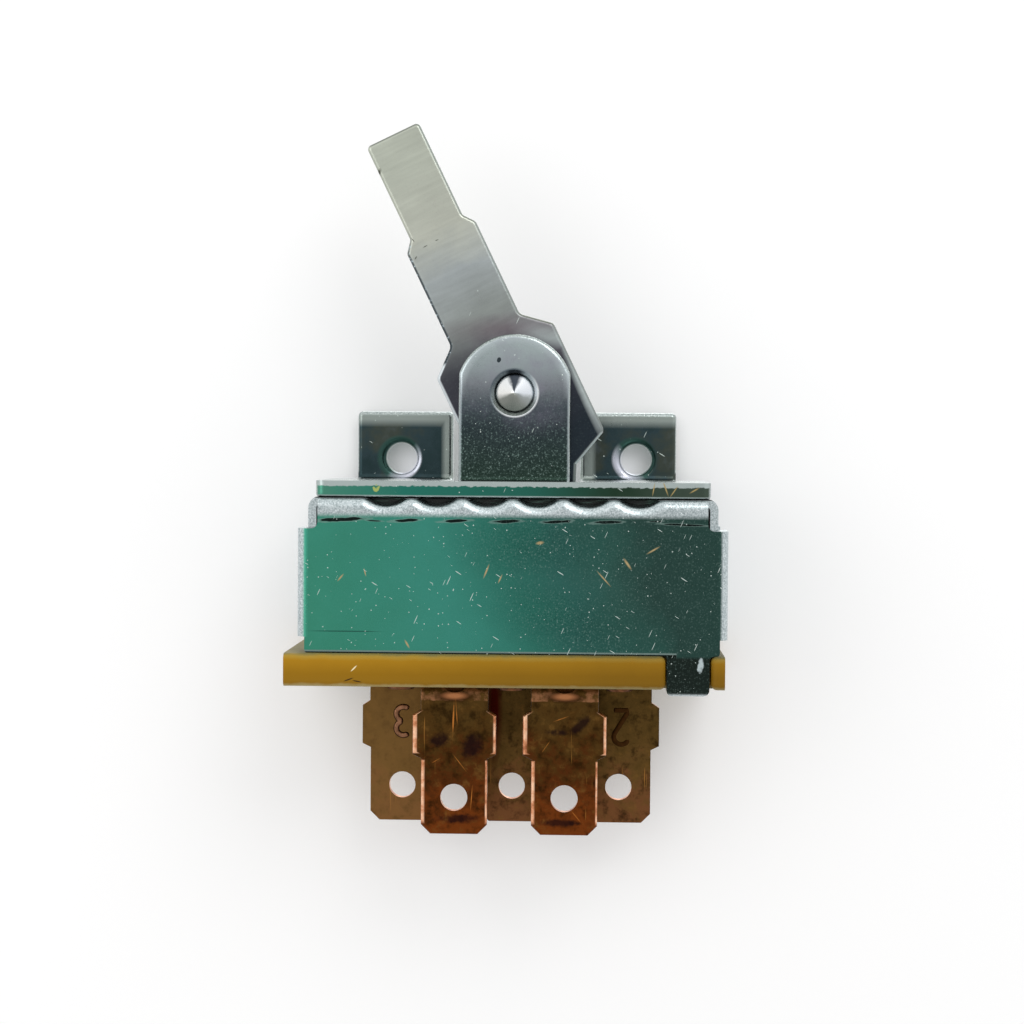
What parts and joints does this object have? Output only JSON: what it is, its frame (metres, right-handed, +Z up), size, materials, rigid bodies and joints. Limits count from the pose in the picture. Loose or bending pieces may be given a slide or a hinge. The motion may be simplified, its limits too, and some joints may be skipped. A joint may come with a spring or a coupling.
{
  "type": "blower switch",
  "caption": "Lever blower switch: stamped bracket with pivoting lever, folded steel housing with detent roof, laminate board and copper blade terminals.",
  "frame": {"origin": "midway between the two mounting holes, on the back face of the mounting ears", "axes": "+X to the right along the lever's sweep, +Y out of the back of the ears, +Z up towards the lever's tip"},
  "size_m": [0.0417, 0.0204, 0.0681],
  "materials": {
    "zinc_plated_steel": "bright zinc plate, lightly scratched",
    "spring_steel": "plain spring steel",
    "phenolic_laminate": "natural paper laminate",
    "copper_strip": "aged copper strip",
    "contact_metal": "copper rivet with silver face",
    "moulded_nylon": "natural moulded nylon"
  },
  "bodies": {
    "base": {"mounting_bracket": "zinc_plated_steel", "pivot_rivet": "zinc_plated_steel", "housing": "zinc_plated_steel", "bowed_washer": "spring_steel", "terminal_board": "phenolic_laminate", "terminal_1": "copper_strip", "contact_rivet_1": "contact_metal", "terminal_2": "copper_strip", "contact_rivet_2": "contact_metal", "terminal_3": "copper_strip", "contact_rivet_3": "contact_metal", "terminal_4": "copper_strip", "contact_rivet_4": "contact_metal", "terminal_5": "copper_strip", "contact_rivet_5": "contact_metal"},
    "lever": {"lever": "zinc_plated_steel"},
    "carriage": {"carriage": "moulded_nylon", "contact_bridge": "copper_strip", "leaf_spring": "spring_steel", "detent_ball_1": "spring_steel", "detent_ball_2": "spring_steel", "detent_spring_1": "spring_steel", "detent_spring_2": "spring_steel"}
  },
  "joints": [
    {"name": "lever_pivot", "type": "hinge", "parent": "base", "child": "lever", "pos_m": [0, -0.0138, 0.0063], "axis": [0, 1, 0], "range_deg": [0, 51.8]},
    {"name": "carriage_slide", "type": "slide", "parent": "base", "child": "carriage", "axis": [-1, 0, 0], "range_m": [0, 0.01429]}
  ],
  "couplings": [
    {"joint": "lever_pivot", "follows": "carriage_slide", "rad_per_m": 63.033}
  ]
}
